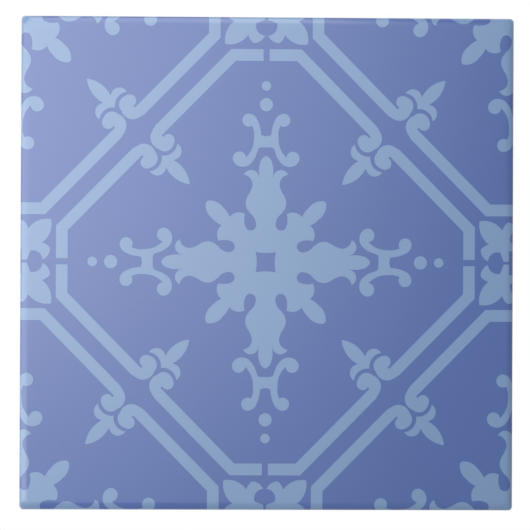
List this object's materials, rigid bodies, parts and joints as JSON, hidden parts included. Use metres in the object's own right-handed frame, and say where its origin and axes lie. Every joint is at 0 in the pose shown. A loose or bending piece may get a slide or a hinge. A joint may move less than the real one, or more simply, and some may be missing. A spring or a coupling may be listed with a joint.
{
  "type": "patterned tile",
  "caption": "Square glazed ceramic wall tile with a cushion edge, a printed two-tone blue lattice ornament and a keyed back.",
  "frame": {"origin": "middle of the back, in the plane of the ribs that the tile lies on", "axes": "+Z out of the glazed face, +X along the side that is to the right when the face is looked at, +Y up the face"},
  "size_m": [0.108, 0.108, 0.006],
  "materials": {
    "glazed_body": "glossy printed glaze on the face, bare fired biscuit on the back"
  },
  "bodies": {
    "root": {"ceramic_tile": "glazed_body"}
  },
  "joints": []
}
